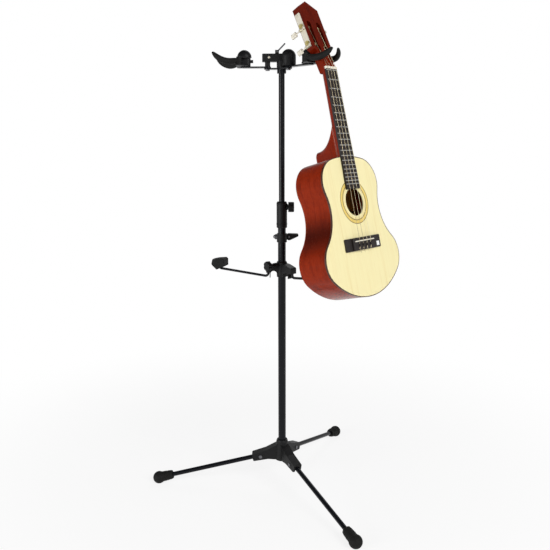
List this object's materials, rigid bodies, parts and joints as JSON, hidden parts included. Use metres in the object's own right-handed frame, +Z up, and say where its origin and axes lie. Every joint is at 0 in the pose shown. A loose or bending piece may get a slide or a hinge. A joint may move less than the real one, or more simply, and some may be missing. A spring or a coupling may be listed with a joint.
{
  "type": "guitar on stand",
  "caption": "Small acoustic guitar hung by its head from a folding tripod stand with swinging yokes, padded backrests and a height clutch.",
  "frame": {"origin": "middle of the underside of the bounding box, on the floor", "axes": "+Z up, -Y towards the viewer of the picture, +X to the viewer's right"},
  "size_m": [0.6983, 0.6752, 1.3458],
  "materials": {
    "black_tube": "gloss black powder coat",
    "black_plastic": "fine grained moulding",
    "black_rubber": "matt rubber",
    "bright_steel": "nickel plate",
    "grey_steel": "dark grey zinc",
    "pale_spruce": "satin lacquer over straight grain",
    "red_mahogany": "gloss red-brown lacquer",
    "dark_edge": "dark edge strip",
    "inlay": "ringed inlay under lacquer",
    "black_wood": "black dyed hardwood",
    "white_bone": "ivory white",
    "worn_brass": "dull brass"
  },
  "bodies": {
    "base": {"base_hub": "black_plastic", "leg_pins": "grey_steel", "lower_tube": "black_tube", "guide_bush": "black_plastic", "clutch_sleeve": "black_plastic", "cam_collar": "black_plastic", "cam_bolt": "grey_steel"},
    "clutch_knob": {"clutch_knob": "black_plastic"},
    "cam_lever": {"cam_lever": "black_plastic"},
    "carriage": {"backrest_carriage": "black_plastic"},
    "backrest_knob": {"backrest_knob": "black_plastic"},
    "mast_upper": {"upper_tube": "black_tube", "tube_shoe": "black_plastic", "head_plate": "black_tube", "head_block": "black_plastic", "head_bolts": "grey_steel"},
    "lock_lever": {"lock_lever": "grey_steel"},
    "guitar": {"soundboard": "pale_spruce", "rosette": "inlay", "binding": "dark_edge", "sides": "red_mahogany", "back_board": "red_mahogany", "linings_and_blocks": "pale_spruce", "braces": "pale_spruce", "bridge": "black_wood", "bridge_pins": "black_wood", "nut_and_saddle": "white_bone", "neck": "red_mahogany", "fingerboard": "black_wood", "frets": "bright_steel", "strings": "bright_steel", "tuner_plates": "bright_steel"},
    "leg_left": {"leg_left": "black_tube", "foot_left": "black_rubber"},
    "leg_rear": {"leg_rear": "black_tube", "foot_rear": "black_rubber"},
    "leg_front": {"leg_front": "black_tube", "foot_front": "black_rubber"},
    "arm_left": {"arm_left": "black_tube", "yoke_base_left": "black_plastic", "yoke_cushion_left": "black_rubber"},
    "backrest_left": {"backrest_arm_left": "black_tube", "backrest_pad_left": "black_rubber"},
    "gate_left_near": {"gate_left_near": "black_rubber"},
    "tuner_button_left_near": {"tuner_button_left_near": "white_bone"},
    "tuner_roller_left_near": {"tuner_roller_left_near": "worn_brass"},
    "gate_left_far": {"gate_left_far": "black_rubber"},
    "tuner_button_left_far": {"tuner_button_left_far": "white_bone"},
    "tuner_roller_left_far": {"tuner_roller_left_far": "worn_brass"},
    "arm_right": {"arm_right": "black_tube", "yoke_base_right": "black_plastic", "yoke_cushion_right": "black_rubber"},
    "backrest_right": {"backrest_arm_right": "black_tube", "backrest_pad_right": "black_rubber"},
    "gate_right_near": {"gate_right_near": "black_rubber"},
    "tuner_button_right_near": {"tuner_button_right_near": "white_bone"},
    "tuner_roller_right_near": {"tuner_roller_right_near": "worn_brass"},
    "gate_right_far": {"gate_right_far": "black_rubber"},
    "tuner_button_right_far": {"tuner_button_right_far": "white_bone"},
    "tuner_roller_right_far": {"tuner_roller_right_far": "worn_brass"}
  },
  "joints": [
    {"name": "leg_left_fold", "type": "hinge", "parent": "base", "child": "leg_left", "pos_m": [-0.0262, 0, 0.08815], "axis": [0, -1, 0], "range_deg": [0, 72]},
    {"name": "leg_rear_fold", "type": "hinge", "parent": "base", "child": "leg_rear", "pos_m": [0.0698, 0.05543, 0.08815], "axis": [-0.866, 0.5, 0], "range_deg": [0, 72]},
    {"name": "leg_front_fold", "type": "hinge", "parent": "base", "child": "leg_front", "pos_m": [0.0698, -0.05543, 0.08815], "axis": [0.866, 0.5, 0], "range_deg": [0, 72]},
    {"name": "mast_height", "type": "slide", "parent": "base", "child": "mast_upper", "axis": [0, 0, 1], "range_m": [0, 0.12]},
    {"name": "clutch_knob_turn", "type": "hinge", "parent": "base", "child": "clutch_knob", "pos_m": [0.0378, 0, 0.825], "axis": [1, 0, 0], "continuous": true},
    {"name": "cam_lever_swing", "type": "hinge", "parent": "base", "child": "cam_lever", "pos_m": [0.0583, 0.02, 0.74], "axis": [0, 1, 0], "range_deg": [0, 80]},
    {"name": "backrest_height", "type": "slide", "parent": "base", "child": "carriage", "axis": [0, 0, 1], "range_m": [-0.12, 0]},
    {"name": "backrest_knob_turn", "type": "hinge", "parent": "carriage", "child": "backrest_knob", "pos_m": [0.0378, 0, 0.664], "axis": [-0.8192, -0.5736, 0], "continuous": true},
    {"name": "backrest_left_swing", "type": "hinge", "parent": "carriage", "child": "backrest_left", "pos_m": [-0.0002, 0, 0.64], "axis": [0, 0, 1], "range_deg": [-30, 30]},
    {"name": "backrest_right_swing", "type": "hinge", "parent": "carriage", "child": "backrest_right", "pos_m": [0.06559, -0.02592, 0.64], "axis": [0, 0, 1], "range_deg": [-30, 30]},
    {"name": "arm_left_swing", "type": "hinge", "parent": "mast_upper", "child": "arm_left", "pos_m": [0.0008, 0, 1.193], "axis": [0, 0, 1], "range_deg": [-50, 50]},
    {"name": "arm_right_swing", "type": "hinge", "parent": "mast_upper", "child": "arm_right", "pos_m": [0.05608, -0.01705, 1.193], "axis": [0, 0, 1], "range_deg": [-20, 20]},
    {"name": "lock_lever_swing", "type": "hinge", "parent": "mast_upper", "child": "lock_lever", "pos_m": [0.0258, 0, 1.232], "axis": [0, 1, 0], "range_deg": [-30, 15]},
    {"name": "gate_left_near_swing", "type": "hinge", "parent": "arm_left", "child": "gate_left_near", "pos_m": [-0.0732, -0.029, 1.206], "axis": [0, 0, 1], "range_deg": [-18, 36]},
    {"name": "gate_left_far_swing", "type": "hinge", "parent": "arm_left", "child": "gate_left_far", "pos_m": [-0.0732, 0.029, 1.206], "axis": [0, 0, 1], "range_deg": [-36, 18]},
    {"name": "guitar_lift", "type": "slide", "parent": "arm_right", "child": "guitar", "axis": [0, 0, 1], "range_m": [0, 0.04]},
    {"name": "gate_right_near_swing", "type": "hinge", "parent": "arm_right", "child": "gate_right_near", "pos_m": [0.0992, -0.09691, 1.206], "axis": [0, 0, 1], "range_deg": [-60, 0]},
    {"name": "gate_right_far_swing", "type": "hinge", "parent": "arm_right", "child": "gate_right_far", "pos_m": [0.13876, -0.05449, 1.206], "axis": [0, 0, 1], "range_deg": [0, 60]},
    {"name": "tuner_button_left_near_turn", "type": "hinge", "parent": "guitar", "child": "tuner_button_left_near", "pos_m": [0.09563, -0.11081, 1.2247], "axis": [0.6539, -0.6098, 0.4478], "continuous": true},
    {"name": "tuner_roller_left_near_turn", "type": "hinge", "parent": "guitar", "child": "tuner_roller_left_near", "pos_m": [0.10238, -0.1115, 1.23735], "axis": [0.682, 0.7314, 0], "continuous": true},
    {"name": "tuner_button_left_far_turn", "type": "hinge", "parent": "guitar", "child": "tuner_button_left_far", "pos_m": [0.08057, -0.09676, 1.26583], "axis": [0.6539, -0.6098, 0.4478], "continuous": true},
    {"name": "tuner_roller_left_far_turn", "type": "hinge", "parent": "guitar", "child": "tuner_roller_left_far", "pos_m": [0.08732, -0.09745, 1.27849], "axis": [0.682, 0.7314, 0], "continuous": true},
    {"name": "tuner_button_right_near_turn", "type": "hinge", "parent": "guitar", "child": "tuner_button_right_near", "pos_m": [0.15238, -0.04996, 1.2247], "axis": [0.6539, -0.6098, 0.4478], "continuous": true},
    {"name": "tuner_roller_right_near_turn", "type": "hinge", "parent": "guitar", "child": "tuner_roller_right_near", "pos_m": [0.15353, -0.05665, 1.23735], "axis": [0.682, 0.7314, 0], "continuous": true},
    {"name": "tuner_button_right_far_turn", "type": "hinge", "parent": "guitar", "child": "tuner_button_right_far", "pos_m": [0.13731, -0.03592, 1.26583], "axis": [0.6539, -0.6098, 0.4478], "continuous": true},
    {"name": "tuner_roller_right_far_turn", "type": "hinge", "parent": "guitar", "child": "tuner_roller_right_far", "pos_m": [0.13847, -0.0426, 1.27849], "axis": [0.682, 0.7314, 0], "continuous": true}
  ],
  "couplings": [
    {"joint": "gate_left_far_swing", "follows": "gate_left_near_swing", "ratio": -1},
    {"joint": "gate_right_near_swing", "follows": "guitar_lift", "rad_per_m": -26.18},
    {"joint": "gate_right_far_swing", "follows": "guitar_lift", "rad_per_m": 26.18},
    {"joint": "tuner_roller_left_near_turn", "follows": "tuner_button_left_near_turn", "ratio": -0.071429},
    {"joint": "tuner_roller_left_far_turn", "follows": "tuner_button_left_far_turn", "ratio": -0.071429},
    {"joint": "tuner_roller_right_near_turn", "follows": "tuner_button_right_near_turn", "ratio": 0.071429},
    {"joint": "tuner_roller_right_far_turn", "follows": "tuner_button_right_far_turn", "ratio": 0.071429}
  ]
}
